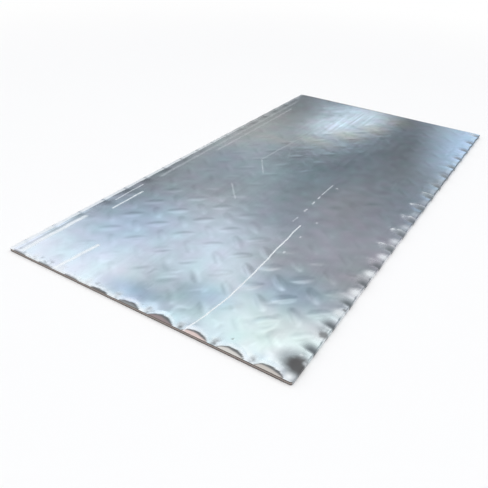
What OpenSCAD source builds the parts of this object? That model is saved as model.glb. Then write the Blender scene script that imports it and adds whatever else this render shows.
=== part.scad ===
// Aluminium checker plate: one rolled sheet with low lens-shaped bars on top,
// and with scoops and flutes along three of its edges, where the metal is drawn down.
// Lengths are in millimetres. X runs across the sheet, Y along it, Z up.
// The underside is at Z = 0.

/* [Sheet] */
// width of the sheet
sheet_width = 300; // [150:5:400]
// length of the sheet
sheet_length = 600; // [200:5:800]
// thickness of the metal between the bars
sheet_thickness = 4; // [3:0.25:8]
// radius of the four corners, seen from above
corner_radius = 2; // [1:0.5:8]

/* [Tread] */
// distance from one bar to the next of its kind across the sheet
pitch_across = 33.3; // [30:0.1:60]
// distance from one bar to the next of its kind along the sheet
pitch_along = 34.5; // [30:0.1:60]
// length of a bar at its foot
bar_length = 25; // [18:0.5:28]
// width of a bar at its foot
bar_width = 8; // [4:0.25:10]
// height of a bar's ridge over the sheet
bar_rise = 0.5; // [0.3:0.1:1.5]
// turn of a bar away from the sheet's width
bar_turn = 45; // [40:1:50]
// place of the rising bars in their pitch, across and along
rising_shares = [0.515, 0.325];
// place of the falling bars in their pitch, across and along
falling_shares = [0.06, 0.865];
// plain metal kept between a bar and the edge of the sheet
bar_margin = 7.5; // [5:0.5:20]

/* [Drawn-down edges] */
// length of the largest scoop along the edge
scoop_length = 25; // [15:0.5:28]
// how far the largest scoop reaches in from the edge
scoop_reach = 6.2; // [4:0.1:9]
// depth of the largest scoop at the edge
scoop_depth = 0.8; // [0.5:0.1:2]
// radius of the hollow of a flute, which lies between two scoops
flute_radius = 9; // [5:0.5:12]
// how far a flute runs in from the edge
flute_length = 12; // [8:0.5:20]
// depth at the left end of the front edge, as a share of the largest
first_share = 0.3; // [0.3:0.05:1]
// depth along both long edges, as a share of the largest
long_edge_share = 0.5; // [0.3:0.05:1]
// place of the front edge's scoops in their pitch
front_share = 0.42; // [0.38:0.01:0.62]
// place of the right edge's scoops in their pitch
right_share = 0.63; // [0.45:0.01:0.7]
// place of the left edge's scoops in their pitch
left_share = 1; // [0.9:0.01:1.1]

/* [Hidden] */
metal_color = [0.72, 0.75, 0.78];
overrun = sheet_thickness;
half_width = sheet_width / 2;
half_length = sheet_length / 2;

// A bar is what two balls share, cut off inside the sheet. Its ridge is an arc.
ridge_radius = (pow(bar_length / 2, 2) + pow(bar_rise, 2)) / (2 * bar_rise);
ball_offset = (pow(bar_length / 2, 2) - pow(bar_width / 2, 2)) / bar_width;
ball_radius = sqrt(pow(ridge_radius, 2) + pow(ball_offset, 2));
bar_root = bar_rise / 2;
bar_half_across = bar_length / 2 * cos(bar_turn) + bar_margin;
bar_half_along = bar_length / 2 * sin(bar_turn) + bar_margin;

// A scoop is cut by a ball whose section at the top face has the scoop's length and reach.
scoop_circle = (pow(scoop_length / 2, 2) + pow(scoop_reach, 2)) / (2 * scoop_reach);
scoop_offset = scoop_circle - scoop_reach;
scoop_span = pow(scoop_circle, 2) - pow(scoop_offset, 2);
scoop_height = (scoop_span - pow(scoop_depth, 2)) / (2 * scoop_depth);
scoop_ball = sqrt(pow(scoop_height, 2) + pow(scoop_circle, 2));
scoop_clear = scoop_length / 2 + corner_radius / 2;
flute_clear = flute_radius;

smooth = 120;

// The places of a row that starts at a share of its pitch and stays clear of both ends.
function places(span, pitch, share, clear) =
    [for (i = [0 : floor(span / pitch)])
        let (at = (i + share) * pitch)
        if (at > clear && at < span - clear) at - span / 2];

// The share of the places half-way between those of another share.
function between(share) = (share + 0.5) % 1;

// Depth at a place on the front edge, as a share of the largest.
function front_depth_share(x) = first_share + (1 - first_share) * (x / sheet_width + 0.5);

// Outline of the sheet with its corners rounded.
module sheet_outline() {
    inner_x = half_width - corner_radius;
    inner_y = half_length - corner_radius;
    square([2 * inner_x, sheet_length], center = true);
    square([sheet_width, 2 * inner_y], center = true);
    for (x = [-inner_x, inner_x], y = [-inner_y, inner_y])
        translate([x, y])
            circle(r = corner_radius, $fn = smooth);
}

// One bar lying along X, with its foot on the plane Z = 0.
module bar() {
    intersection() {
        translate([-bar_length, -bar_width, -bar_root])
            cube([2 * bar_length, 2 * bar_width, bar_root + 2 * bar_rise]);
        flank_ball(-ball_offset);
        flank_ball(ball_offset);
    }
}

// One of the two balls that bound a bar.
module flank_ball(side) {
    translate([0, side, bar_rise - ridge_radius])
        sphere(r = ball_radius, $fn = smooth);
}

// A field of bars turned one way.
module bars(shares, turn) {
    for (x = places(sheet_width, pitch_across, shares[0], bar_half_across),
         y = places(sheet_length, pitch_along, shares[1], bar_half_along))
        translate([x, y, sheet_thickness])
            rotate([0, 0, turn])
                bar();
}

// The cap of a ball that cuts one scoop into an edge along X that faces -Y.
module scoop(depth_share) {
    translate([0, 0, sheet_thickness + (1 - depth_share) * scoop_depth])
        intersection() {
            translate([-scoop_length, -overrun, -2 * scoop_depth])
                cube([2 * scoop_length, overrun + 2 * scoop_reach, 2 * scoop_depth + overrun]);
            translate([0, -scoop_offset, scoop_height])
                sphere(r = scoop_ball, $fn = smooth);
        }
}

// The leaning rod that cuts one flute into an edge along X that faces -Y.
module flute(depth_share) {
    depth = depth_share * scoop_depth;
    lean = atan(depth / flute_length);
    translate([0, 0, sheet_thickness - depth + flute_radius / cos(lean)])
        rotate([lean - 90, 0, 0])
            translate([0, 0, -overrun])
                cylinder(r = flute_radius, h = overrun + 2 * flute_length, $fn = smooth);
}

// Everything cut from the front edge and the two long edges.
module edge_cuts() {
    for (x = places(sheet_width, pitch_across, front_share, scoop_clear))
        translate([x, -half_length, 0])
            scoop(front_depth_share(x));
    for (x = places(sheet_width, pitch_across, between(front_share), flute_clear))
        translate([x, -half_length, 0])
            flute(front_depth_share(x));
    for (y = places(sheet_length, pitch_along, right_share, scoop_clear))
        translate([half_width, y, 0])
            rotate([0, 0, 90])
                scoop(long_edge_share);
    for (y = places(sheet_length, pitch_along, between(right_share), flute_clear))
        translate([half_width, y, 0])
            rotate([0, 0, 90])
                flute(long_edge_share);
    for (y = places(sheet_length, pitch_along, left_share, scoop_clear))
        translate([-half_width, y, 0])
            rotate([0, 0, -90])
                scoop(long_edge_share);
    for (y = places(sheet_length, pitch_along, between(left_share), flute_clear))
        translate([-half_width, y, 0])
            rotate([0, 0, -90])
                flute(long_edge_share);
}

// The whole sheet.
module checker_plate() {
    color(metal_color)
        difference() {
            union() {
                linear_extrude(height = sheet_thickness)
                    sheet_outline();
                bars(rising_shares, bar_turn);
                bars(falling_shares, -bar_turn);
            }
            edge_cuts();
        }
}

checker_plate();
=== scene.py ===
"""Aluminium checker plate, dressed around its CAD solid and set on a pale floor."""

import math
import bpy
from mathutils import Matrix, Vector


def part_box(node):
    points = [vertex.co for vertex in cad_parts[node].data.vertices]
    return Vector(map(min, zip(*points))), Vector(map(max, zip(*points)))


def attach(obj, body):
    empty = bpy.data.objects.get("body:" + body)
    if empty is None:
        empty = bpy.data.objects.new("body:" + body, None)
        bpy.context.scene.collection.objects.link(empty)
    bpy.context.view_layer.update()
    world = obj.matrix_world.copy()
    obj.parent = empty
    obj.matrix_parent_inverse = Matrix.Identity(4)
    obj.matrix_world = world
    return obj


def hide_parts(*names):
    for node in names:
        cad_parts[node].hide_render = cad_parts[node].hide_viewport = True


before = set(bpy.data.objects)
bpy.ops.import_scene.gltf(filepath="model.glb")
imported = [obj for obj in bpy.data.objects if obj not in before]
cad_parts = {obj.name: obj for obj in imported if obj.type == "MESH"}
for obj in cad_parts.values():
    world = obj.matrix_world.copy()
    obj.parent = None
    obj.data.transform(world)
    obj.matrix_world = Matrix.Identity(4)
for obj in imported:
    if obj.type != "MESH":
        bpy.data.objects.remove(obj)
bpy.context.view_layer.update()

import bmesh
import bpy
from bpy.props import FloatProperty, FloatVectorProperty, PointerProperty
from mathutils import Matrix, Vector, noise

bl_info = {
    "name": "Checker plate",
    "version": (1, 0, 0),
    "blender": (4, 5, 0),
    "location": "View3D > Sidebar > Checker plate",
    "description": "Models a sheet of aluminium checker plate and its studio",
    "category": "Add Mesh",
}

MM = 0.001
LOW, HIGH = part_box("checker_plate")
SHEET_WIDTH = HIGH[0] - LOW[0]
SHEET_LENGTH = HIGH[1] - LOW[1]

# Places in a pitch, counted from the sheet's left and front edges. A flute lies half a pitch past a scoop.
RISING_BAR_SHARES = (0.515, 0.325)
FALLING_BAR_SHARES = (0.06, 0.865)
FRONT_SCOOP_SHARE = 0.42
RIGHT_SCOOP_SHARE = 0.63
LEFT_SCOOP_SHARE = 1.0
TO_FLUTE_SHARE = 0.5

# The two fields of bars: their places, the side they are turned to and the depth of the shade on them.
BAR_FIELDS = (
    (RISING_BAR_SHARES, 1, 0.08),
    (FALLING_BAR_SHARES, -1, 0.09),
)
BAR_TURN = math.radians(45)

# Painted shade along one foot of a bar and a painted highlight along the other, in shares of the bar's width.
SHADED_FOOT_SHARE = -0.22
LIT_FOOT_SHARE = 0.2
FOOT_LINE_SHARE = 0.14
LIT_FOOT_STRENGTH = 0.6

# Wear of the tread: its reach from three edges, what it leaves there and what it takes at the back.
FRONT_WEAR = 110 * MM
LEFT_WEAR = 90 * MM
RIGHT_WEAR = 60 * MM
EDGE_TREAD = 0.35
BACK_WEAR = 0.82

# How much higher the tread is where it is crisp and how much deeper its painted shade, and the mottle and
# painted shade left where it is worn.
CRISP_RISE = 1.6
CRISP_SHADE = 1.8
WORN_MOTTLE = 0.15
WORN_SHADE = 0.75

# Relative size of the front edge's first scoop on the left, which grows to 1 on the right, and of the long
# edges' scoops. A scoop's length and its reach follow its size by a power each.
FIRST_SCOOP_SIZE = 0.12
LONG_EDGE_SIZE = 0.5
LENGTH_POWER = 0.25
REACH_POWER = 1.3

# Metal drawn down at the edges: where it ends, counted in flute lengths, how much deeper small scoops are at
# the edge, how far a rim rolls over, the dimples' radius and place, and the rounding along all four edges.
DROP_END = 4
SMALL_SCOOP_DEEPER = 0.5
RIM_ROLL_RUN = 5 * MM
DIMPLE_RADIUS = 4 * MM
DIMPLE_INWARD = 7 * MM
EDGE_ROUNDING = 0.1 * MM
EDGE_ROUNDING_RUN = 1.5 * MM

# How far in the small folds reach, and the crumpled metal, which reaches in less on the left. It is weaker at
# the left end of the front edge and at the sides, and its height is a share of the folds'.
FRONT_FOLD_RUN = 32 * MM
SIDE_FOLD_RUN = 28 * MM
FRONT_CRUMPLE_RUN = 120 * MM
SIDE_CRUMPLE_RUN = 45 * MM
LEFT_CRUMPLE_LESS = 10 * MM
LEFT_END_CRUMPLE = 0.3
SIDE_CRUMPLE = 0.8
CRUMPLE_HEIGHT_SHARE = 0.5

# Crumpled metal: waves per metre and level of two sizes of fold, their stretch along the sheet, their width
# as a share of the noise, and the step in level to the noise that breaks them up.
COARSE_CRUMPLE = (70, 3.3)
FINE_CRUMPLE = (130, 6.9)
CRUMPLE_STRETCH = 0.55
CRUMPLE_WIDTH = 0.13
BREAK_STEP = 3

# Noise patterns: waves per metre across and along the sheet, and a level. Two of them are added as a share.
FRONT_FOLDS = (110, 22, 2.2)
SIDE_FOLDS = (22, 110, 5.2)
SLOW_WAVES = (9, 6, 0.3)
QUICK_WAVES = (28, 22, 4.1)
QUICK_WAVE_SHARE = 0.3
MOTTLE = (75, 75, 6.3)
TORN_RIM = (260, 60, 4.4)
RAGGED = (220, 220, 1.7)
FINE_RAGGED = (600, 600, 3.1)
FINE_RAGGED_SHARE = 0.6
WARM_DRIFT = (14, 10, 7.7)
BLUSH = (60, 60, 8.1)
CLOUDS = (20, 13, 9.4)
SMALL_CLOUDS = (85, 85, 2.6)

# Scratches as points in shares of the sheet's width and length, with a width and a strength.
SCRATCHES = (
    ("long", 1.3 * MM, 1.0, (
        (0.681, 0.331), (0.687, 0.246), (0.695, 0.179), (0.700, 0.092), (0.692, 0.042), (0.679, 0.002),
    )),
    ("dash_1", 1.2 * MM, 0.55, ((0.641, 0.512), (0.642, 0.462))),
    ("dash_2", 1.8 * MM, 0.6, ((0.643, 0.452), (0.644, 0.443))),
    ("dash_3", 1.8 * MM, 0.6, ((0.645, 0.426), (0.645, 0.416))),
    ("dash_4", 1.8 * MM, 0.5, ((0.646, 0.392), (0.646, 0.383))),
    ("dash_5", 1.2 * MM, 0.45, ((0.646, 0.356), (0.646, 0.338))),
    ("nick_1", 2.4 * MM, 0.6, ((0.666, 0.504), (0.670, 0.503))),
    ("nick_2", 2.0 * MM, 0.45, ((0.718, 0.358), (0.718, 0.356))),
    ("nick_3", 1.6 * MM, 0.45, ((0.716, 0.299), (0.716, 0.297))),
    ("nick_4", 1.8 * MM, 0.45, ((0.717, 0.243), (0.717, 0.239))),
    ("inner", 1.6 * MM, 0.3, (
        (0.309, 0.742), (0.309, 0.699), (0.303, 0.650), (0.293, 0.594), (0.287, 0.535),
    )),
    ("slant_1", 1.8 * MM, 0.3, ((0.287, 0.535), (0.362, 0.478))),
    ("slant_2", 1.8 * MM, 0.26, ((0.309, 0.400), (0.388, 0.350))),
    ("slant_3", 1.6 * MM, 0.12, ((0.329, 0.630), (0.370, 0.578))),
    ("left_1", 2.0 * MM, 0.9, ((0.082, 0.268), (0.082, 0.188))),
    ("left_2", 4.2 * MM, 0.95, ((0.047, 0.138), (0.047, 0.008))),
    ("left_3", 2.6 * MM, 0.3, ((0.078, 0.867), (0.080, 0.517))),
    ("left_4", 1.6 * MM, 0.6, ((0.044, 0.290), (0.046, 0.215))),
    ("left_5", 3.4 * MM, 0.95, ((0.213, 0.083), (0.200, 0.004))),
    ("left_6", 3.2 * MM, 0.25, ((0.044, 0.940), (0.050, 0.340))),
)
SCRATCH_WANDER = 2.2 * MM

# Painted reflections and shade in the front edge's scoops, from the left.
PAINTED_SCOOP_TONES = (
    (0.09, 0.08, 0.07), (0.10, 0.085, 0.075), (0.11, 0.095, 0.085),
    (0.10, 0.09, 0.08), (0.20, 0.20, 0.19), (0.24, 0.16, 0.15),
    (0.72, 0.55, 0.50), (0.66, 0.62, 0.57), (0.55, 0.49, 0.44),
)
# Painted deep shade under the scoops' rims and in the dark patches.
DEEP_SHADE = (0.07, 0.065, 0.065)
# Painted shade in the pockets, the smears and the near corner, also the colour of the dark flecks and the
# crease.
SOFT_SHADE_AND_DARK_MARKS = (0.085, 0.10, 0.11)
# Painted highlight along the edges.
PAINTED_HIGHLIGHT = (0.93, 0.95, 0.96)

# Painted reflections and shade in the front edge's scoops: their strength, how unevenly they reach in, and
# the relative size at which they would be even; and where the painted shade under a rim starts in a scoop's
# reach, its skew and its run past the rim.
SCOOP_TONE_STRENGTH = 0.9
TORN_STRENGTH = 0.5
EVEN_RIM_SIZE = 1.3
RIM_SHADE_START = 0.45
RIM_SHADE_SKEW = 0.5
RIM_SHADE_RUN = 0.8 * MM

# Behind the front edge's scoops: painted highlights along the rims, smears of painted shade and of painted
# highlight at the flutes, with the places of their middles and their half sizes, and dark flecks behind the
# left half.
RIM_HIGHLIGHT_STRENGTH = 0.5
RIM_HIGHLIGHT_RUN = 6 * MM
SMEAR_BESIDE = 1 * MM
SMEAR_INWARD = 3 * MM
SMEAR_STRENGTH = 0.6
SMEAR_RAGGED = 0.9
SMEAR_SHADE_HALVES = (4.5 * MM, 8 * MM)
SMEAR_HIGHLIGHT_STRENGTH = 0.55
SMEAR_HIGHLIGHT_HALVES = (6 * MM, 9 * MM)
FLECK_STRENGTH = 0.45
FLECK_START = 2 * MM
FLECK_RUN = 9 * MM

# Painted highlight along the left edge, strong in front and faint at the back, with ticks at the flutes, and
# the crease's dark band beside it.
LEFT_BAND = 8 * MM
LEFT_HIGHLIGHT_START = 5 * MM
LEFT_HIGHLIGHT_RUN = 1.5 * MM
LEFT_HIGHLIGHT_STRENGTHS = (0.8, 0.3)
TICK_STRENGTH = 0.6
TICK_WIDTH = 2 * MM
CREASE_STRENGTH = 0.35
CREASE_PLACE = (10 * MM, 70 * MM)
CREASE_HALVES = (3.5 * MM, 110 * MM)

# Painted shade in pockets at the right edge's flutes: their strength in front and at the back, how they lean,
# where they start and end along the edge, how much longer some run out, and how far in they reach.
POCKET_STRENGTHS = (0.95, 0.7)
POCKET_LEAN = 0.2
POCKET_FRONT = -6 * MM
POCKET_FRONT_RUN = 3 * MM
POCKET_BACK = -2 * MM
POCKET_BACK_RUN = 10 * MM
POCKET_LONGER_RUN = 9 * MM
POCKET_INWARD = 3 * MM
POCKET_INWARD_RUN = 13 * MM

# Painted highlights in arcs around the pockets, whose radius and width are shares of two half sizes, and the
# painted highlight between the pockets, with its least and its greatest strength.
ARC_STRENGTH = 0.85
ARC_FULLNESS = 0.65
ARC_RADIUS = 0.95
ARC_RAGGED = 0.2
ARC_WIDTH = 0.18
ARC_INWARD = 2 * MM
ARC_HALVES = (7 * MM, 13 * MM)
ARC_FRONT = -5 * MM
ARC_FRONT_RUN = 8 * MM
RIGHT_HIGHLIGHT_STRENGTHS = (0.2, 0.8)
RIGHT_HIGHLIGHT_INWARD = 3 * MM
RIGHT_HIGHLIGHT_HALVES = (9 * MM, 10 * MM)

# Patches, as places in shares of the sheet, a radius and a strength: painted shade with ragged edges and a
# soft painted shade around the right front corner, and painted highlights that lie over them and at the right
# back corner.
DARK_PATCHES = (
    (0.988, 0.028, 17 * MM, 0.95), (0.99, 0.097, 7 * MM, 0.75),
    (0.995, 0.162, 3 * MM, 0.7), (0.803, 0.023, 1.8 * MM, 0.6),
)
PATCH_RAGGED = 0.25
PATCH_FULLNESS = 1.3
CORNER_SHADE = (0.965, 0.034, 18 * MM, 0.6)
BRIGHT_PATCHES = (
    (0.985, 0.006, 8 * MM, 0.95), (0.977, 0.047, 3 * MM, 0.6),
    (0.998, 0.037, 3.5 * MM, 0.7), (0.97, 0.988, 9 * MM, 0.5),
)

# Drifts of colour over the sheet, partly the metal's own tone and partly painted light and shade: middle and
# half sizes in shares of the sheet, and the tint.
TINTS = (
    (0.62, 0.95, 0.12, 0.07, (1.10, 1.00, 0.88)),
    (0.56, 0.86, 0.12, 0.07, (1.12, 1.00, 0.86)),
    (0.48, 0.78, 0.14, 0.06, (1.10, 0.99, 0.85)),
    (0.38, 0.70, 0.18, 0.05, (1.08, 1.00, 0.88)),
    (0.22, 0.655, 0.22, 0.05, (1.12, 1.06, 0.96)),
    (0.85, 0.36, 0.40, 0.26, (1.04, 0.97, 1.00)),
    (0.45, 0.50, 0.30, 0.16, (0.92, 1.02, 1.02)),
    (0.75, 0.06, 0.45, 0.12, (0.97, 1.06, 0.98)),
    (0.15, 0.18, 0.40, 0.18, (0.92, 1.00, 1.09)),
    (0.97, 0.90, 0.20, 0.25, (0.94, 1.00, 1.07)),
    # Painted shade: a darker band behind the right half of the front edge.
    (0.84, 0.155, 0.22, 0.075, (0.77, 0.88, 0.94)),
    (0.05, 0.75, 0.22, 0.50, (1.09, 1.01, 0.91)),
    # Painted shade along the front edge, in this line and the next.
    (0.45, 0.025, 0.16, 0.035, (0.66, 0.75, 0.83)),
    (0.65, 0.08, 0.13, 0.05, (0.74, 0.82, 0.87)),
    # A painted pool of light.
    (0.62, 0.27, 0.15, 0.07, (1.22, 1.20, 1.20)),
    (0.16, 0.50, 0.14, 0.09, (0.83, 0.85, 0.85)),
)

# Strengths of the drifts and clouds that noise adds to the tint, and of the crumpled metal's shade.
WARM_STRENGTH = 0.05
BLUSH_STRENGTH = 0.045
CLOUD_STRENGTH = 0.12
SMALL_CLOUD_STRENGTH = 0.07
COARSE_CRUMPLE_SHADE = 0.10
FINE_CRUMPLE_SHADE = 0.06

# The metal's rolling streaks, as waves per metre, the depth of its grain and how rough its marks are.
STREAK_SCALE = (420, 7, 1)
GRAIN_DEPTH = 0.2 * MM
MARK_ROUGHNESS = 0.3

# The sheared edge: the shade of its torn parts, the height of its burnished line, and where the line has
# faded out and is full on either side.
TEAR_SHADE = 0.7
BURNISH_HEIGHT = 1.6 * MM
BURNISH_OUTER = 0.9 * MM
BURNISH_INNER = 0.4 * MM

# Levels of the room and of its back wall, from the sine of the rise, and how cool their dark levels are.
ROOM_LEVELS = ((0.0, 0.26), (0.18, 0.34), (0.42, 0.52), (0.64, 0.80), (0.80, 1.0), (1.0, 0.72))
WALL_LEVELS = (
    (0.0, 0.30), (0.24, 0.22), (0.29, 0.23), (0.325, 0.21), (0.35, 0.18),
    (0.39, 0.19), (0.42, 0.26), (0.47, 0.36), (0.52, 0.40), (0.575, 0.42),
    (0.615, 0.6), (0.655, 1.15), (0.70, 1.25), (0.87, 1.0), (1.0, 0.72),
)
COOL_SHARE = 0.09

# The back wall: its turn from +Y towards -X, its rise, half sizes and softness in degrees, and its lean.
BACK_WALL = (25.0, 0.0, 42.0, 90.0, 25.0, 0.0)

# Panels of light and shade: turn from +Y to -X, rise, half sizes and softness in degrees, lean and level.
SOFTBOXES = (
    ("left back wall", 32.5, 21.5, 3.0, 2.0, 5.0, 0.0, (0.41, 0.44, 0.47)),
    ("window foot", 27.3, 21.4, 1.4, 0.4, 2.0, 3.0, (0.60, 0.65, 0.67)),
    ("dark pier", 18.6, 21.6, 0.9, 1.0, 1.6, 2.8, (0.05, 0.055, 0.065)),
    ("back window", 20.1, 19.2, 1.0, 0.7, 1.5, 2.6, (2.25, 2.55, 2.75)),
    ("right window", 3.0, 17.8, 3.2, 2.8, 8.0, 0.0, (0.76, 0.92, 1.08)),
    ("ceiling", 52.0, 60.0, 18.0, 25.0, 9.0, 0.0, (0.96, 1.02, 1.09)),
    ("left ceiling", 67.5, 50.0, 12.0, 24.0, 8.0, 0.0, (1.06, 1.12, 1.19)),
    ("beam", 40.0, 37.6, 2.5, 0.6, 3.0, 0.0, (0.42, 0.46, 0.50)),
    ("left wall", 100.0, 5.0, 30.0, 18.0, 12.0, 0.0, (1.1, 1.12, 1.15)),
    ("skylight", -110.0, 72.0, 50.0, 5.0, 10.0, 0.0, (1.2, 1.2, 1.2)),
)

# Windows in the room's other walls: their turns, and the rise, half sizes, softness, lean and level of each.
WINDOW_TURNS = (-58.0, -86.0, -114.0, -142.0, -167.0, 165.0, 139.0)
WINDOW = (24.0, 6.5, 11.0, 4.5, 0.0, (0.92, 0.97, 1.02))


def length_setting(name, description, default):
    """A length that a user can change."""
    return FloatProperty(name=name, description=description, default=default, unit="LENGTH")


def colour_setting(name, description, default):
    """A colour that a user can change."""
    limits = {"min": 0, "max": 1}
    return FloatVectorProperty(name=name, description=description, default=default, subtype="COLOR", **limits)


class PlateSizes(bpy.types.PropertyGroup):
    """Sizes of the sheet's relief."""

    pitch_across: length_setting("Pitch across", "Distance between like bars across the sheet", 33.3 * MM)
    pitch_along: length_setting("Pitch along", "Distance between like bars along the sheet", 34.5 * MM)
    bar_length: length_setting("Bar length", "Length of a bar at its foot", 25 * MM)
    bar_width: length_setting("Bar width", "Width of a bar with its soft foot", 13 * MM)
    bar_rise: length_setting("Bar rise", "Height of a bar over the sheet", 0.095 * MM)
    bar_margin: length_setting("Bar margin", "Plain metal between a bar and an edge", 7.5 * MM)
    thickness: length_setting("Thickness", "Thickness of the metal between the bars", 4 * MM)
    corner_radius: length_setting("Corner radius", "Radius of the corners, seen from above", 2 * MM)
    scoop_length: length_setting("Scoop length", "Length of an edge scoop along the edge", 25 * MM)
    scoop_reach: length_setting("Scoop reach", "How far a scoop reaches in from the edge", 5.6 * MM)
    scoop_depth: length_setting("Scoop depth", "Depth of a scoop at the edge", 0.8 * MM)
    edge_bevel: length_setting("Edge bevel", "Least width of the metal drawn down along an edge", 0.8 * MM)
    rim_roll: length_setting("Rim roll", "How far the metal rolls over into a scoop", 0.4 * MM)
    flute_length: length_setting("Flute length", "Length of the flutes between the scoops", 10 * MM)
    dimple_depth: length_setting("Dimple depth", "Depth of the dimples in the flutes", 0.3 * MM)
    wrinkle: length_setting("Wrinkle", "Height of the small folds near the drawn-down edges", 0.08 * MM)
    mottle: length_setting("Mottle", "Height of the smallest waves in the sheet", 0.04 * MM)
    buckle: length_setting("Buckle", "Height of the slow waves in the sheet", 0.15 * MM)


class PlateColours(bpy.types.PropertyGroup):
    """Colours of the metal and the floor."""

    metal: colour_setting("Metal", "Mill-finish aluminium", (0.715, 0.78, 0.84))
    haze: colour_setting("Haze", "Cloudy patches on the metal", (0.64, 0.69, 0.735))
    scratch: colour_setting("Scratch", "Bare bright scratches", (0.93, 0.95, 0.96))
    lip: colour_setting("Sheared edge", "Torn metal of the cut edge", (0.13, 0.11, 0.10))
    burnish: colour_setting("Burnished edge", "Line that the shear rubbed on the edge", (0.38, 0.32, 0.29))
    floor: colour_setting("Floor", "Pale studio floor", (0.935, 0.92, 0.91))


def smooth_step(value):
    """Eases from 0 to 1 for a value between 0 and 1."""
    value = min(max(value, 0.0), 1.0)
    return value * value * (3 - 2 * value)


def rising(value, start, run):
    """Eases from 0 at a start to 1 at the end of a run."""
    return smooth_step((value - start) / run)


def falling(value, start, run):
    """Eases from 1 at a start to 0 at the end of a run."""
    return 1 - rising(value, start, run)


def between(first, last, share):
    """Value at a share of the way from a first one to a last one."""
    return first + (last - first) * share


def bell(value, middle, width):
    """Bell curve, 1 in the middle."""
    return math.exp(-(((value - middle) / width) ** 2))


def blob(off_x, off_y, half_x, half_y):
    """Soft round weight, 1 in the middle and 0 past the two half sizes."""
    return 1 - smooth_step(math.hypot(off_x / half_x, off_y / half_y))


def hump(value, middle, half):
    """Soft weight along one line, 1 in the middle and 0 past the half size."""
    return blob(value - middle, 0, half, 1)


def waves(x, y, pattern):
    """Noise at a place, between -1 and 1, in a pattern of waves per metre across and along and a level."""
    across, along, level = pattern
    return noise.noise(Vector((x * across, y * along, level)))


def off_row(at, pitch, share):
    """Signed distance from a place to the nearest stop of a row that starts at a share of its pitch."""
    return (at / pitch - share + 0.5) % 1.0 * pitch - pitch / 2


def bar_edge(taper, sizes):
    """Half the width of a bar, from its taper at a place along it."""
    return sizes.bar_width / 2 * taper ** 0.5


def on_bar(across, along, shares, turn, sizes):
    """Fullness of the bar at a place and the place's distance from its ridge, for the bars turned one way."""
    dx = off_row(across, sizes.pitch_across, shares[0])
    dy = off_row(along, sizes.pitch_along, shares[1])
    half = sizes.bar_length / 2
    reach = half * math.cos(BAR_TURN) + sizes.bar_margin
    middle_x, middle_y = across - dx, along - dy
    if not (reach < middle_x < SHEET_WIDTH - reach and reach < middle_y < SHEET_LENGTH - reach):
        return 0.0, 0.0
    run = math.cos(BAR_TURN) * dx + turn * math.sin(BAR_TURN) * dy
    side = math.cos(BAR_TURN) * dy - turn * math.sin(BAR_TURN) * dx
    if abs(run) >= half:
        return 0.0, 0.0
    taper = 1 - (run / half) ** 2
    if abs(side) >= bar_edge(taper, sizes):
        return 0.0, 0.0
    return taper, side


def bar_height(across, along, shares, turn, sizes):
    """Height of the bars that are turned one way, at a place counted from the left front corner."""
    taper, side = on_bar(across, along, shares, turn, sizes)
    if taper == 0:
        return 0.0
    return sizes.bar_rise * taper * (1 + math.cos(math.pi * side / bar_edge(taper, sizes))) / 2


def bar_shade(across, along, shares, turn, sizes):
    """Painted shade of the bars turned one way: shade along one foot, and a painted highlight along the
    other.
    """
    taper, side = on_bar(across, along, shares, turn, sizes)
    shaded_foot = bell(side / sizes.bar_width, SHADED_FOOT_SHARE, FOOT_LINE_SHARE)
    # The rubbed line is a painted highlight along the other foot.
    rubbed = bell(side / sizes.bar_width, LIT_FOOT_SHARE, FOOT_LINE_SHARE)
    return taper * (shaded_foot - LIT_FOOT_STRENGTH * rubbed)


def tread_fade(across, along):
    """Share of the tread's height left at a place, as it is worn near three edges and towards the back."""
    near = smooth_step(min(along / FRONT_WEAR, across / LEFT_WEAR, (SHEET_WIDTH - across) / RIGHT_WEAR))
    back = rising(along / SHEET_LENGTH, start=0.5, run=0.2)
    return between(EDGE_TREAD, 1, near) * (1 - BACK_WEAR * back)


def crisp_share(across, along):
    """How crisp the tread still is at a place: most behind the right half of the front edge."""
    right = rising(across / SHEET_WIDTH, start=0.45, run=0.3)
    return right * hump(along / SHEET_LENGTH, middle=0.17, half=0.17)


def crumple(x, y, folds):
    """Sharp folds of a crumpled skin: a dark line beside a bright one, from -1 to 1, broken up as it runs."""
    scale, level = folds
    fold = waves(x, y, (scale, CRUMPLE_STRETCH * scale, level)) / CRUMPLE_WIDTH
    broken = rising(waves(x, y, (scale, scale, level + BREAK_STEP)), start=0.05, run=0.3)
    return broken * fold * math.exp((1 - fold * fold) / 2)


def crumpled_share(across, along):
    """How much the metal is crumpled at a place: most along the front, right and left edges."""
    front = falling(along, start=0, run=FRONT_CRUMPLE_RUN)
    front *= between(LEFT_END_CRUMPLE, 1, rising(across / SHEET_WIDTH, start=0, run=0.6))
    side = falling(min(SHEET_WIDTH - across, across + LEFT_CRUMPLE_LESS), start=0, run=SIDE_CRUMPLE_RUN)
    return max(front, SIDE_CRUMPLE * side)


def scoop_half(size, sizes):
    """Half the length of a scoop of a relative size, which shrinks less than its reach."""
    return size ** LENGTH_POWER * sizes.scoop_length / 2


def scoop_reach_at(beside, size, sizes):
    """How far a scoop of a relative size reaches in, at a distance beside its middle."""
    half = scoop_half(size, sizes)
    if abs(beside) >= half:
        return 0.0
    deep = size ** REACH_POWER * sizes.scoop_reach
    circle = (half ** 2 + deep ** 2) / (2 * deep)
    return math.sqrt(circle ** 2 - beside ** 2) - circle + deep


def front_scoop(across, sizes):
    """Number, distance from the middle and relative size of the front edge's nearest scoop."""
    beside = off_row(across, sizes.pitch_across, FRONT_SCOOP_SHARE)
    middle = across - beside
    size = between(FIRST_SCOOP_SIZE, 1, rising(middle / SHEET_WIDTH, start=0.25, run=0.4))
    return round(middle / sizes.pitch_across - FRONT_SCOOP_SHARE), beside, size


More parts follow.
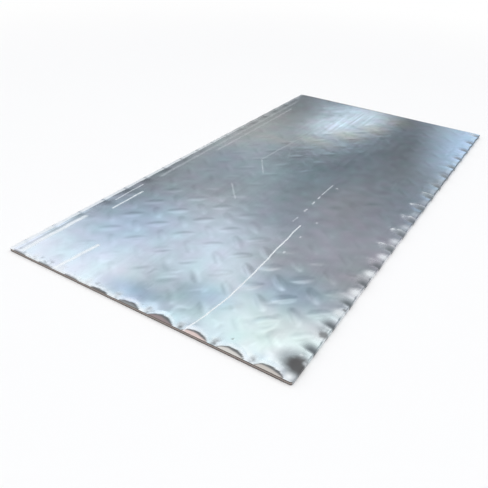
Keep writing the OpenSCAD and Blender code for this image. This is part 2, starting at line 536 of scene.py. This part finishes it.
def edge_drop(inward, beside, size, pitch, sizes):
    """How far the metal is drawn down near an edge: scoops under rolled rims, flutes and dimples."""
    if inward > DROP_END * sizes.flute_length:
        return 0.0
    reach = max(scoop_reach_at(beside, size, sizes), sizes.edge_bevel)
    pinch = min(abs(beside) / scoop_half(size, sizes), 1.0) ** 2
    depth = between(1 + SMALL_SCOOP_DEEPER, 1, size) * sizes.scoop_depth
    roll = size * sizes.rim_roll
    rolled = between(roll, size * sizes.scoop_depth, pinch)
    if inward < reach:
        return between(depth, rolled, smooth_step(inward / reach))
    past = inward - reach
    flute = (rolled - roll) * bell(past, 0, sizes.flute_length)
    gap = pitch / 2 - abs(beside)
    dimple = bell(gap, 0, DIMPLE_RADIUS) * bell(inward, DIMPLE_INWARD, DIMPLE_RADIUS)
    dimple *= size * sizes.dimple_depth
    return flute + roll * falling(past, start=0, run=RIM_ROLL_RUN) + dimple


def deepest_drop(across, along, sizes):
    """How far the front edge or one of the long edges draws the metal down at a place."""
    right_beside = off_row(along, sizes.pitch_along, RIGHT_SCOOP_SHARE)
    left_beside = off_row(along, sizes.pitch_along, LEFT_SCOOP_SHARE)
    return max(
        edge_drop(along, *front_scoop(across, sizes)[1:], sizes.pitch_across, sizes),
        edge_drop(SHEET_WIDTH - across, right_beside, LONG_EDGE_SIZE, sizes.pitch_along, sizes),
        edge_drop(across, left_beside, LONG_EDGE_SIZE, sizes.pitch_along, sizes),
    )


def sheet_height(x, y, sizes):
    """Height of the sheet's top face."""
    across, along = x - LOW[0], y - LOW[1]
    from_right, from_back = SHEET_WIDTH - across, SHEET_LENGTH - along
    fade = tread_fade(across, along)
    tread = sum(bar_height(across, along, *field[:2], sizes) for field in BAR_FIELDS)
    height = sizes.thickness + fade * (1 + CRISP_RISE * crisp_share(across, along)) * tread
    fold = waves(x, y, FRONT_FOLDS) * falling(along, start=0, run=FRONT_FOLD_RUN)
    fold += waves(x, y, SIDE_FOLDS) * falling(min(across, from_right), start=0, run=SIDE_FOLD_RUN)
    fold += CRUMPLE_HEIGHT_SHARE * crumpled_share(across, along) * crumple(x, y, COARSE_CRUMPLE)
    height += sizes.wrinkle * fold - deepest_drop(across, along, sizes)
    rim = min(across, from_right, along, from_back)
    height -= EDGE_ROUNDING * falling(rim, start=0, run=EDGE_ROUNDING_RUN)
    height += sizes.buckle * (waves(x, y, SLOW_WAVES) + QUICK_WAVE_SHARE * waves(x, y, QUICK_WAVES))
    return height + between(WORN_MOTTLE, 1, fade) * sizes.mottle * waves(x, y, MOTTLE)


def patch_weight(across, along, patch):
    """Weight of a round patch at a place."""
    u, v, radius, strength = patch
    return strength * blob(across - u * SHEET_WIDTH, along - v * SHEET_LENGTH, radius, radius)


def torn_reach(x, y, sizes):
    """How far the nearest front scoop's painted reflection reaches in, most unevenly where the scoops are
    small.
    """
    beside, size = front_scoop(x - LOW[0], sizes)[1:]
    uneven = TORN_STRENGTH * (EVEN_RIM_SIZE - size) * waves(x, y, TORN_RIM)
    return (1 + uneven) * scoop_reach_at(beside, size, sizes)


def scoop_shading(across, along, reach, sizes):
    """Colour and weight of the painted reflection in a front scoop, and of the painted shade under its rim.
    """
    index, beside = front_scoop(across, sizes)[:2]
    fill = PAINTED_SCOOP_TONES[min(max(index, 0), len(PAINTED_SCOOP_TONES) - 1)]
    share = along / reach
    rim_start = RIM_SHADE_START - RIM_SHADE_SKEW * beside / sizes.scoop_length
    dark = rising(share, start=rim_start, run=0.3) * falling(along, start=reach, run=RIM_SHADE_RUN)
    colour = [between(part, rim, dark) for part, rim in zip(fill, DEEP_SHADE)]
    return (*colour, SCOOP_TONE_STRENGTH * max(dark, falling(share, start=0.9, run=0.2)))


def left_highlight(across, along, sizes):
    """Colour and weight of the painted highlight along the left edge, with ticks at the flutes."""
    beside = off_row(along, sizes.pitch_along, LEFT_SCOOP_SHARE + TO_FLUTE_SHARE)
    weight = between(*LEFT_HIGHLIGHT_STRENGTHS, rising(along / SHEET_LENGTH, start=0.4, run=0.4))
    weight *= 1 - TICK_STRENGTH * bell(beside, 0, TICK_WIDTH)
    return (*PAINTED_HIGHLIGHT, weight * falling(across, start=LEFT_HIGHLIGHT_START, run=LEFT_HIGHLIGHT_RUN))


def beside_smear(across, sizes):
    """Signed distance from a place to the nearest smear at the front edge's flutes."""
    return off_row(across, sizes.pitch_across, FRONT_SCOOP_SHARE + TO_FLUTE_SHARE) - SMEAR_BESIDE


def beside_pocket(across, along, sizes):
    """Signed distance along the right edge from a place to the nearest leaning pocket."""
    beside = off_row(along, sizes.pitch_along, RIGHT_SCOOP_SHARE + TO_FLUTE_SHARE)
    return beside - POCKET_LEAN * (SHEET_WIDTH - across)


def hollow_shade_and_marks(across, along, ragged, sizes):
    """Weight of painted shade at the smears, the right pockets and the corner, and of dark flecks and the
    left crease.
    """
    far_back = along / SHEET_LENGTH
    size = front_scoop(across, sizes)[2]
    smear = size * (SMEAR_STRENGTH + SMEAR_RAGGED * ragged)
    smear *= blob(beside_smear(across, sizes), along - SMEAR_INWARD, *SMEAR_SHADE_HALVES)
    crease = CREASE_STRENGTH * blob(across - CREASE_PLACE[0], along - CREASE_PLACE[1], *CREASE_HALVES)
    fleck = FLECK_STRENGTH * rising(ragged, start=0.2, run=0.35)
    fleck *= falling(along, start=FLECK_START, run=FLECK_RUN)
    fleck *= falling(across / SHEET_WIDTH, start=0.5, run=0.2)
    beside = beside_pocket(across, along, sizes)
    back_run = POCKET_BACK_RUN + POCKET_LONGER_RUN * hump(far_back, middle=0.42, half=0.3)
    pocket = between(*POCKET_STRENGTHS, far_back)
    pocket *= rising(beside, start=POCKET_FRONT, run=POCKET_FRONT_RUN)
    pocket *= falling(beside, start=POCKET_BACK, run=back_run)
    pocket *= falling(SHEET_WIDTH - across, start=POCKET_INWARD, run=POCKET_INWARD_RUN)
    return max(smear, crease, fleck, pocket, patch_weight(across, along, CORNER_SHADE))


def dark_shade(across, along, ragged):
    """Weight of the dark patches of painted shade near the right front corner, which have ragged edges."""
    grown = 1 + PATCH_RAGGED * ragged
    weights = []
    for u, v, radius, strength in DARK_PATCHES:
        soft = patch_weight(across, along, (u, v, grown * radius, 1))
        weights.append(strength * smooth_step(PATCH_FULLNESS * soft))
    return max(weights)


def painted_highlights(across, along, reach, ragged, sizes):
    """Weight of the painted highlights along the front and right edges."""
    far_back = along / SHEET_LENGTH
    from_right = SHEET_WIDTH - across
    smear = SMEAR_HIGHLIGHT_STRENGTH * blob(beside_smear(across, sizes), along - SMEAR_INWARD, *SMEAR_HIGHLIGHT_HALVES)
    rim = RIM_HIGHLIGHT_STRENGTH * (1 - ragged) * falling(along, start=reach, run=RIM_HIGHLIGHT_RUN)
    row = off_row(along, sizes.pitch_along, RIGHT_SCOOP_SHARE)
    right = between(*RIGHT_HIGHLIGHT_STRENGTHS, hump(far_back, middle=0.25, half=0.3))
    right *= blob(row, from_right - RIGHT_HIGHLIGHT_INWARD, *RIGHT_HIGHLIGHT_HALVES)
    beside = beside_pocket(across, along, sizes)
    ring = math.hypot(beside / ARC_HALVES[0], (from_right - ARC_INWARD) / ARC_HALVES[1])
    arc = ARC_STRENGTH * (ARC_FULLNESS + ragged)
    arc *= bell(ring, middle=ARC_RADIUS + ARC_RAGGED * ragged, width=ARC_WIDTH)
    arc *= rising(beside, start=ARC_FRONT, run=ARC_FRONT_RUN)
    arc *= rising(far_back, start=0.28, run=0.1) * falling(far_back, start=0.5, run=0.2)
    return max(smear, rim, right, arc)


def edge_shading_at(x, y, sizes):
    """Colour and weight of the painted shade, the painted highlights and the dark flecks along the edges."""
    across, along = x - LOW[0], y - LOW[1]
    reach = torn_reach(x, y, sizes)
    if 0 < reach and along < reach + RIM_SHADE_RUN:
        return scoop_shading(across, along, reach, sizes)
    if across < LEFT_BAND:
        return left_highlight(across, along, sizes)
    ragged = waves(x, y, RAGGED) + FINE_RAGGED_SHARE * waves(x, y, FINE_RAGGED)
    dark = dark_shade(across, along, ragged)
    hollow = hollow_shade_and_marks(across, along, ragged, sizes)
    bright = painted_highlights(across, along, reach, ragged, sizes)
    for patch in BRIGHT_PATCHES:
        weight = patch_weight(across, along, patch)
        dark *= 1 - weight
        hollow *= 1 - weight
        bright = max(bright, weight)
    hollow *= 1 - dark
    bright *= (1 - dark) * (1 - hollow)
    whole = dark + hollow + bright
    if whole <= 0:
        return (*PAINTED_HIGHLIGHT, 0.0)
    # Painted deep shade, painted soft shade with the flecks and crease, and the painted highlight, mixed by
    # weight.
    parts = zip(DEEP_SHADE, SOFT_SHADE_AND_DARK_MARKS, PAINTED_HIGHLIGHT)
    colour = [(shading * dark + shade * hollow + shine * bright) / whole for shading, shade, shine in parts]
    return (*colour, min(whole, 1.0))


def tint_at(x, y, sizes):
    """Slow drift of the metal's colour, partly painted light and shade, with the bars' and folds' painted
    shade.
    """
    across, along = x - LOW[0], y - LOW[1]
    u, v = across / SHEET_WIDTH, along / SHEET_LENGTH
    colour = (1.0, 1.0, 1.0)
    for at_u, at_v, half_u, half_v, tint in TINTS:
        weight = blob(u - at_u, v - at_v, half_u, half_v)
        colour = [between(part, aim, weight) for part, aim in zip(colour, tint)]
    red, green, blue = colour
    warm = WARM_STRENGTH * waves(x, y, WARM_DRIFT)
    blush = BLUSH_STRENGTH * waves(x, y, BLUSH)
    cloud = 1 + CLOUD_STRENGTH * waves(x, y, CLOUDS) + SMALL_CLOUD_STRENGTH * waves(x, y, SMALL_CLOUDS)
    # Painted shade and highlights along the bars' feet, strongest where the tread is crisp.
    shade = sum(depth * bar_shade(across, along, shares, turn, sizes) for shares, turn, depth in BAR_FIELDS)
    left_over = between(WORN_SHADE, 1, tread_fade(across, along))
    cloud -= shade * (left_over + CRISP_SHADE * crisp_share(across, along))
    # Painted shade and highlights along the folds of the crumpled metal.
    folds = COARSE_CRUMPLE_SHADE * crumple(x, y, COARSE_CRUMPLE)
    folds += FINE_CRUMPLE_SHADE * crumple(x, y, FINE_CRUMPLE)
    cloud += crumpled_share(across, along) * folds
    return (red + warm + blush) * cloud, (green - blush) * cloud, (blue - warm) * cloud, 1.0


def graded(share, span, band, band_lines, lines):
    """Place of a grid line, close together in a band at both ends of the span and even between."""
    line = share * lines
    step = (span - 2 * band) / (lines - 2 * band_lines)
    if line < band_lines:
        return band * line / band_lines
    if line > lines - band_lines:
        return span - band * (lines - line) / band_lines
    return band + (line - band_lines) * step


def round_corner(x, y, radius):
    """Moves a point of a square corner block onto a round one."""
    inner_x, inner_y = SHEET_WIDTH / 2 - radius, SHEET_LENGTH / 2 - radius
    a, b = (abs(x) - inner_x) / radius, (abs(y) - inner_y) / radius
    if a <= 0 or b <= 0:
        return x, y
    return (
        math.copysign(inner_x + radius * a * math.sqrt(1 - b * b / 2), x),
        math.copysign(inner_y + radius * b * math.sqrt(1 - a * a / 2), y),
    )


def new_object(name, data):
    """Puts a mesh, a lamp or a camera in the scene as a new object."""
    made = bpy.data.objects.new(name, data)
    bpy.context.scene.collection.objects.link(made)
    return made


def new_material(name):
    """Makes a material and returns it with its node tree and its shader."""
    material = bpy.data.materials.new(name)
    material.use_nodes = True
    tree = material.node_tree
    return material, tree, tree.nodes["Principled BSDF"]


def add_node(tree, kind, label="", inputs=None, **settings):
    """Adds one node with its label, its settings and its inputs, each a value or a socket to link from."""
    node = tree.nodes.new(kind)
    node.label = label
    for key, value in settings.items():
        setattr(node, key, value)
    for key, value in (inputs or {}).items():
        if isinstance(value, bpy.types.NodeSocket):
            tree.links.new(value, node.inputs[key])
        else:
            node.inputs[key].default_value = value
    return node


def maths(tree, label, operation, *inputs, **settings):
    """Adds a maths node and returns its result."""
    values = dict(enumerate(inputs))
    return add_node(tree, "ShaderNodeMath", label, values, operation=operation, **settings).outputs[0]


def vectors(tree, label, operation, *inputs):
    """Adds a vector maths node and returns its outputs, a vector and a value."""
    values = dict(enumerate(inputs))
    return add_node(tree, "ShaderNodeVectorMath", label, values, operation=operation).outputs


def scaled(tree, label, vector, scale):
    """Scales a vector by a value or a socket."""
    inputs = {0: vector, "Scale": scale}
    return add_node(tree, "ShaderNodeVectorMath", label, inputs, operation="SCALE").outputs["Vector"]


def ranged(tree, label, value, limits, interpolation_type="LINEAR"):
    """Maps a socket from one range to another."""
    inputs = {"Value": value, **limits}
    settings = {"interpolation_type": interpolation_type}
    return add_node(tree, "ShaderNodeMapRange", label, inputs, **settings).outputs["Result"]


def cloudy(tree, label, place, scale, detail):
    """Adds a noise texture and returns its outputs."""
    inputs = {"Vector": place, "Scale": scale, "Detail": detail}
    return add_node(tree, "ShaderNodeTexNoise", label, inputs).outputs


def mixed(tree, label, factor, first, second, blend_type="MIX"):
    """Mixes two colours, each a value or a socket, by a factor."""
    inputs = {"Factor": factor, 6: first, 7: second}
    settings = {"data_type": "RGBA", "blend_type": blend_type}
    return add_node(tree, "ShaderNodeMix", label, inputs, **settings).outputs[2]


def scratch_group():
    """Node group that masks one straight scratch between two points on the sheet."""
    tree = bpy.data.node_groups.new("Scratch stroke", "ShaderNodeTree")
    for name in ("Position", "Start", "Run"):
        tree.interface.new_socket(name=name, in_out="INPUT", socket_type="NodeSocketVector")
    for name in ("Width", "Strength"):
        tree.interface.new_socket(name=name, in_out="INPUT", socket_type="NodeSocketFloat")
    tree.interface.new_socket(name="Mask", in_out="OUTPUT", socket_type="NodeSocketFloat")
    given = add_node(tree, "NodeGroupInput").outputs
    flat = vectors(tree, "flat", "MULTIPLY", given["Position"], (1, 1, 0))["Vector"]
    apart = vectors(tree, "from start", "SUBTRACT", flat, given["Start"])["Vector"]
    along = vectors(tree, "along", "DOT_PRODUCT", apart, given["Run"])["Value"]
    whole = vectors(tree, "run squared", "DOT_PRODUCT", given["Run"], given["Run"])["Value"]
    share = maths(tree, "share of run", "DIVIDE", along, whole, use_clamp=True)
    foot = scaled(tree, "foot", given["Run"], share)
    off = vectors(tree, "off the line", "DISTANCE", apart, foot)["Value"]
    limits = {"From Min": 0.0, "From Max": given["Width"], "To Min": 1.0, "To Max": 0.0}
    mask = ranged(tree, "soft edge", off, limits, "SMOOTHSTEP")
    strong = maths(tree, "strength", "MULTIPLY", mask, given["Strength"])
    add_node(tree, "NodeGroupOutput", "", {"Mask": strong})
    return tree


def scratch_mask(tree, place):
    """Adds every scratch to a material and returns the socket of their joint mask."""
    group = scratch_group()
    drift = cloudy(tree, "wander", place, scale=55.0, detail=2.0)["Color"]
    about_zero = vectors(tree, "about zero", "SUBTRACT", drift, (0.5, 0.5, 0.5))["Vector"]
    small = scaled(tree, "small", about_zero, SCRATCH_WANDER)
    moved = vectors(tree, "wandering place", "ADD", place, small)["Vector"]
    joint = None
    for name, width, strength, points in SCRATCHES:
        placed = [Vector((LOW[0] + u * SHEET_WIDTH, LOW[1] + v * SHEET_LENGTH, 0)) for u, v in points]
        for start, end in zip(placed, placed[1:]):
            inputs = {"Position": moved, "Start": start, "Run": end - start}
            inputs.update({"Width": width, "Strength": strength})
            stroke = add_node(tree, "ShaderNodeGroup", name, inputs, node_tree=group).outputs["Mask"]
            joint = stroke if joint is None else maths(tree, "with the rest", "MAXIMUM", joint, stroke)
    return joint


def softbox_group():
    """Node group that masks one soft-edged panel of the room, by its turn and rise as seen from the sheet."""
    tree = bpy.data.node_groups.new("Softbox", "ShaderNodeTree")
    for name in ("Azimuth", "Elevation", "Turn", "Rise", "Half turn", "Half rise", "Soft", "Lean"):
        tree.interface.new_socket(name=name, in_out="INPUT", socket_type="NodeSocketFloat")
    tree.interface.new_socket(name="Mask", in_out="OUTPUT", socket_type="NodeSocketFloat")
    given = add_node(tree, "NodeGroupInput").outputs
    above = maths(tree, "above the middle", "SUBTRACT", given["Elevation"], given["Rise"])
    lean = maths(tree, "lean", "MULTIPLY", above, given["Lean"])
    turned = maths(tree, "turn at this height", "ADD", given["Turn"], lean)
    masks = []
    for angle, middle, half in (
        (given["Azimuth"], turned, given["Half turn"]),
        (given["Elevation"], given["Rise"], given["Half rise"]),
    ):
        off = maths(tree, "off the middle", "SUBTRACT", angle, middle)
        size = maths(tree, "either side", "ABSOLUTE", off)
        edge = maths(tree, "outer edge", "ADD", half, given["Soft"])
        limits = {"From Min": half, "From Max": edge, "To Min": 1.0, "To Max": 0.0}
        masks.append(ranged(tree, "soft edge", size, limits, "SMOOTHSTEP"))
    both = maths(tree, "both ways", "MULTIPLY", *masks)
    add_node(tree, "NodeGroupOutput", "", {"Mask": both})
    return tree


def mill_material(colours):
    """Rolled aluminium: streaks along the sheet, cloudy haze, fine grain and bright scratches."""
    material, tree, shader = new_material("Mill aluminium")
    place = add_node(tree, "ShaderNodeTexCoord").outputs["Object"]
    stretch = add_node(tree, "ShaderNodeMapping", "along the sheet", {"Vector": place, "Scale": STREAK_SCALE})
    streaks = cloudy(tree, "rolling streaks", stretch.outputs[0], scale=1.0, detail=4.0)["Fac"]
    cloud = cloudy(tree, "haze", place, scale=16.0, detail=3.0)["Fac"]
    grain = cloudy(tree, "grain", place, scale=900.0, detail=2.0)["Fac"]
    wear = cloudy(tree, "wear", place, scale=240.0, detail=2.0)["Fac"]
    hazy = ranged(tree, "haze share", cloud, {"From Min": 0.4, "From Max": 0.75, "To Max": 0.8})
    colour = mixed(tree, "haze", hazy, (*colours.metal, 1), (*colours.haze, 1))
    # The tint holds drifts of colour, part painted light and shade, and the painted shade of the bars and
    # folds.
    tint = add_node(tree, "ShaderNodeAttribute", "tint", attribute_name="tint").outputs["Color"]
    colour = mixed(tree, "tint", 1.0, colour, tint, blend_type="MULTIPLY")
    # Painted shade and highlights along the edges, which also make the metal rougher and less metallic there.
    edge_shading = add_node(tree, "ShaderNodeAttribute", "shading", attribute_name="edge_shading").outputs
    colour = mixed(tree, "shading", edge_shading["Alpha"], colour, edge_shading["Color"])
    worn = ranged(tree, "worn share", wear, {"From Min": 0.35, "From Max": 0.6, "To Min": 0.65})
    scratches = maths(tree, "worn scratches", "MULTIPLY", scratch_mask(tree, place), worn)
    colour = mixed(tree, "scratches", scratches, colour, (*colours.scratch, 1))
    marks = maths(tree, "scratches and grime", "MAXIMUM", scratches, edge_shading["Alpha"])
    limits = {"From Min": 0.3, "From Max": 0.7, "To Min": 0.11, "To Max": 0.16}
    gloss = ranged(tree, "streak gloss", streaks, limits)
    rough = maths(tree, "rougher marks", "MULTIPLY_ADD", marks, MARK_ROUGHNESS, gloss)
    bare = ranged(tree, "dull marks", marks, {"To Min": 1.0, "To Max": 0.25})
    inputs = {"Height": grain, "Strength": 0.012, "Distance": GRAIN_DEPTH}
    bump = add_node(tree, "ShaderNodeBump", "grain", inputs)
    tree.links.new(colour, shader.inputs["Base Color"])
    tree.links.new(rough, shader.inputs["Roughness"])
    tree.links.new(bare, shader.inputs["Metallic"])
    tree.links.new(bump.outputs[0], shader.inputs["Normal"])
    return material


def lip_material(colours):
    """Torn, dull metal of the sheared edge."""
    material, tree, shader = new_material("Sheared edge")
    place = add_node(tree, "ShaderNodeTexCoord").outputs["Object"]
    tear = cloudy(tree, "tear", place, scale=350.0, detail=3.0)["Fac"]
    dark = tuple(TEAR_SHADE * part for part in colours.lip)
    colour = mixed(tree, "tear", tear, (*dark, 1), (*colours.lip, 1))
    height = add_node(tree, "ShaderNodeSeparateXYZ", "", {0: place}).outputs["Z"]
    off = maths(tree, "off the line", "SUBTRACT", height, BURNISH_HEIGHT)
    size = maths(tree, "either side", "ABSOLUTE", off)
    limits = {"From Min": BURNISH_OUTER, "From Max": BURNISH_INNER, "To Max": 0.85}
    band = ranged(tree, "burnished line", size, limits)
    colour = mixed(tree, "burnished", band, colour, (*colours.burnish, 1))
    tree.links.new(colour, shader.inputs["Base Color"])
    shader.inputs["Metallic"].default_value = 0.2
    shader.inputs["Roughness"].default_value = 0.6
    return material


class PLATE_OT_sheet(bpy.types.Operator):
    """Model the sheet of checker plate"""

    bl_idname = "plate.sheet"
    bl_label = "Model the sheet"

    lines_across = 220
    lines_along = 430
    band_lines = 16
    band = 14 * MM

    def execute(self, context):
        sizes, colours = context.scene.plate_sizes, context.scene.plate_colours
        bm = bmesh.new()
        self.shape_top(bm, sizes)
        self.close_sheet(bm, sizes)
        mesh = bpy.data.meshes.new("tread_sheet")
        bm.to_mesh(mesh)
        bm.free()
        mesh.materials.append(mill_material(colours))
        mesh.materials.append(lip_material(colours))
        piece = new_object("tread_sheet", mesh)
        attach(piece, "root")
        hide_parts("checker_plate")
        return {"FINISHED"}

    def shape_top(self, bm, sizes):
        """Makes the top face from a grid, with its painted shading along the edges and its tint."""
        edge_shading = bm.verts.layers.float_color.new("edge_shading")
        tint = bm.verts.layers.float_color.new("tint")
        bmesh.ops.create_grid(bm, x_segments=self.lines_across, y_segments=self.lines_along, size=0.5)
        for vert in bm.verts:
            x = LOW[0] + graded(vert.co.x + 0.5, SHEET_WIDTH, self.band, self.band_lines, self.lines_across)
            y = LOW[1] + graded(vert.co.y + 0.5, SHEET_LENGTH, self.band, self.band_lines, self.lines_along)
            x, y = round_corner(x, y, sizes.corner_radius)
            vert.co = (x, y, sheet_height(x, y, sizes))
            vert[edge_shading] = edge_shading_at(x, y, sizes)
            vert[tint] = tint_at(x, y, sizes)
        for face in bm.faces:
            face.smooth = True

    def close_sheet(self, bm, sizes):
        """Draws the walls down from the rim, the front one as a sheared edge, and fills the underside."""
        rim = [edge for edge in bm.edges if edge.is_boundary]
        for edge in rim:
            edge.smooth = False
        front = LOW[1] + sizes.corner_radius / 2
        wall = bmesh.ops.extrude_edge_only(bm, edges=rim)["geom"]
        for part in wall:
            if isinstance(part, bmesh.types.BMVert):
                part.co.z = LOW[2]
        for part in wall:
            if isinstance(part, bmesh.types.BMFace) and part.calc_center_median().y < front:
                part.material_index = 1
        ring = [part for part in wall if isinstance(part, bmesh.types.BMEdge) and part.is_boundary]
        bmesh.ops.edgeloop_fill(bm, edges=ring, mat_nr=0, use_smooth=False)
        for edge in ring:
            edge.smooth = False
        bmesh.ops.recalc_face_normals(bm, faces=bm.faces[:])


class PLATE_OT_stage(bpy.types.Operator):
    """Set up the floor, the light and the camera"""

    bl_idname = "plate.stage"
    bl_label = "Set up the studio"

    floor_half = 6
    floor_gap = 0.2 * MM
    floor_plain = 0.5
    floor_white = 1.4
    lamp_size = 3
    lamp_energy = 26
    lamp_place = Vector((0.3, -0.5, 3.2))
    camera_place = Vector((0.2592, -0.5636, 0.2964))
    camera_turn = math.radians(30.4)
    camera_tilt = math.radians(32.36)
    camera_roll = math.radians(3.07)
    camera_lens = 41.23
    camera_sensor = 36
    camera_near = 0.01

    def execute(self, context):
        scene, colours = context.scene, context.scene.plate_colours
        scene.view_settings.view_transform = "Standard"
        self.lay_floor(colours)
        self.light_world(scene)
        self.hang_lamp()
        self.place_camera(scene)
        return {"FINISHED"}

    def lay_floor(self, colours):
        """Lays a pale floor that turns plain white away from the sheet, where it is seen or mirrored."""
        bm = bmesh.new()
        bmesh.ops.create_grid(bm, x_segments=1, y_segments=1, size=self.floor_half)
        mesh = bpy.data.meshes.new("floor")
        bm.to_mesh(mesh)
        bm.free()
        floor = new_object("floor", mesh)
        floor.location.z = LOW[2] - self.floor_gap
        material, tree, shader = new_material("Pale floor")
        shader.inputs["Base Color"].default_value = (*colours.floor, 1)
        shader.inputs["Roughness"].default_value = 0.9
        shader.inputs["Specular IOR Level"].default_value = 0.0
        place = add_node(tree, "ShaderNodeTexCoord").outputs["Object"]
        away = vectors(tree, "distance from the sheet", "LENGTH", place)["Value"]
        limits = {"From Min": self.floor_plain, "From Max": self.floor_white}
        far = ranged(tree, "far floor", away, limits, "SMOOTHSTEP")
        path = add_node(tree, "ShaderNodeLightPath").outputs
        seen = maths(tree, "seen or mirrored", "MAXIMUM", path["Is Camera Ray"], path["Is Glossy Ray"])
        share = maths(tree, "white share", "MULTIPLY", far, seen)
        white = add_node(tree, "ShaderNodeEmission", "plain white").outputs[0]
        blend = add_node(tree, "ShaderNodeMixShader", "", {"Fac": share, 1: shader.outputs[0], 2: white})
        tree.links.new(blend.outputs[0], tree.nodes["Material Output"].inputs["Surface"])
        mesh.materials.append(material)

    def light_world(self, scene):
        """Builds the room that the sheet mirrors, behind a backdrop that is white for the camera only."""
        world = bpy.data.worlds.new("Studio")
        scene.world = world
        world.use_nodes = True
        tree = world.node_tree
        way = add_node(tree, "ShaderNodeTexCoord").outputs["Generated"]
        parts = add_node(tree, "ShaderNodeSeparateXYZ", "", {0: way}).outputs
        left = maths(tree, "left", "MULTIPLY", parts["X"], -1.0)
        azimuth = maths(tree, "turn from +Y to -X", "ARCTAN2", left, parts["Y"])
        elevation = maths(tree, "height", "ARCSINE", parts["Z"])
        lit = self.level_ramp(tree, "room", ROOM_LEVELS, parts["Z"])
        wall = self.level_ramp(tree, "back wall", WALL_LEVELS, parts["Z"])
        windows = [("window", turn, *WINDOW) for turn in WINDOW_TURNS]
        panels = [("back wall", *BACK_WALL, wall)]
        panels += [(*panel[:-1], (*panel[-1], 1)) for panel in (*windows, *SOFTBOXES)]
        group = softbox_group()
        for name, turn, rise, half_turn, half_rise, soft, lean, level in panels:
            inputs = {"Azimuth": azimuth, "Elevation": elevation, "Lean": lean}
            angles = {"Turn": turn, "Rise": rise, "Soft": soft}
            angles.update({"Half turn": half_turn, "Half rise": half_rise})
            inputs.update({socket: math.radians(angle) for socket, angle in angles.items()})
            mask = add_node(tree, "ShaderNodeGroup", name, inputs, node_tree=group).outputs["Mask"]
            lit = mixed(tree, name, mask, lit, level)
        camera_ray = add_node(tree, "ShaderNodeLightPath").outputs["Is Camera Ray"]
        seen = mixed(tree, "plain backdrop", camera_ray, lit, (1, 1, 1, 1))
        tree.links.new(seen, tree.nodes["Background"].inputs["Color"])

    def level_ramp(self, tree, name, levels, height):
        """Adds a ramp of light levels, cool where they are dark, and returns its colour."""
        ramp = add_node(tree, "ShaderNodeValToRGB", name, {"Fac": height})
        stops = ramp.color_ramp.elements
        stops.remove(stops[1])
        for number, (position, level) in enumerate(levels):
            stop = stops[0] if number == 0 else stops.new(position)
            cool = COOL_SHARE * (1 - min(level, 1))
            stop.position = position
            stop.color = ((1 - cool) * level, level, (1 + cool) * level, 1)
        return ramp.outputs[0]

    def hang_lamp(self):
        """Hangs one wide lamp over the sheet, which the sheet doesn't mirror."""
        light = bpy.data.lights.new("key", "AREA")
        light.shape = "RECTANGLE"
        light.size = self.lamp_size
        light.size_y = self.lamp_size
        light.energy = self.lamp_energy
        lamp = new_object("key", light)
        lamp.visible_glossy = False
        lamp.location = self.lamp_place
        lamp.rotation_euler = (-self.lamp_place).to_track_quat("-Z", "Y").to_euler()

    def place_camera(self, scene):
        """Places the camera at the photo's point of view."""
        camera = bpy.data.cameras.new("camera")
        camera.sensor_width = self.camera_sensor
        camera.lens = self.camera_lens
        camera.clip_start = self.camera_near
        seat = new_object("camera", camera)
        turn, tilt = self.camera_turn, self.camera_tilt
        ahead = Vector((-math.sin(turn) * math.cos(tilt), math.cos(turn) * math.cos(tilt), -math.sin(tilt)))
        right = ahead.cross(Vector((0, 0, 1))).normalized()
        up = right.cross(ahead)
        c, s = math.cos(self.camera_roll), math.sin(self.camera_roll)
        right, up = c * right + s * up, c * up - s * right
        axes = Matrix((right, up, -ahead)).transposed().to_4x4()
        seat.matrix_world = Matrix.Translation(self.camera_place) @ axes
        scene.camera = seat


class PLATE_PT_panel(bpy.types.Panel):
    """Lists the steps, the sizes and the colours"""

    bl_label = "Checker plate"
    bl_idname = "PLATE_PT_panel"
    bl_space_type = "VIEW_3D"
    bl_region_type = "UI"
    bl_category = "Checker plate"

    def draw(self, context):
        layout = self.layout
        layout.operator(PLATE_OT_sheet.bl_idname)
        layout.operator(PLATE_OT_stage.bl_idname)
        for group in (context.scene.plate_sizes, context.scene.plate_colours):
            for name in group.__annotations__:
                layout.prop(group, name)


CLASSES = (PlateSizes, PlateColours, PLATE_OT_sheet, PLATE_OT_stage, PLATE_PT_panel)


def register():
    """Registers the classes and hangs their settings on the scene."""
    for cls in CLASSES:
        bpy.utils.register_class(cls)
    bpy.types.Scene.plate_sizes = PointerProperty(type=PlateSizes)
    bpy.types.Scene.plate_colours = PointerProperty(type=PlateColours)


def unregister():
    """Takes the settings and the classes away again."""
    del bpy.types.Scene.plate_colours
    del bpy.types.Scene.plate_sizes
    for cls in reversed(CLASSES):
        bpy.utils.unregister_class(cls)


def main():
    """Makes the sheet and its studio."""
    register()
    bpy.ops.plate.sheet()
    bpy.ops.plate.stage()


if __name__ == "__main__":
    main()
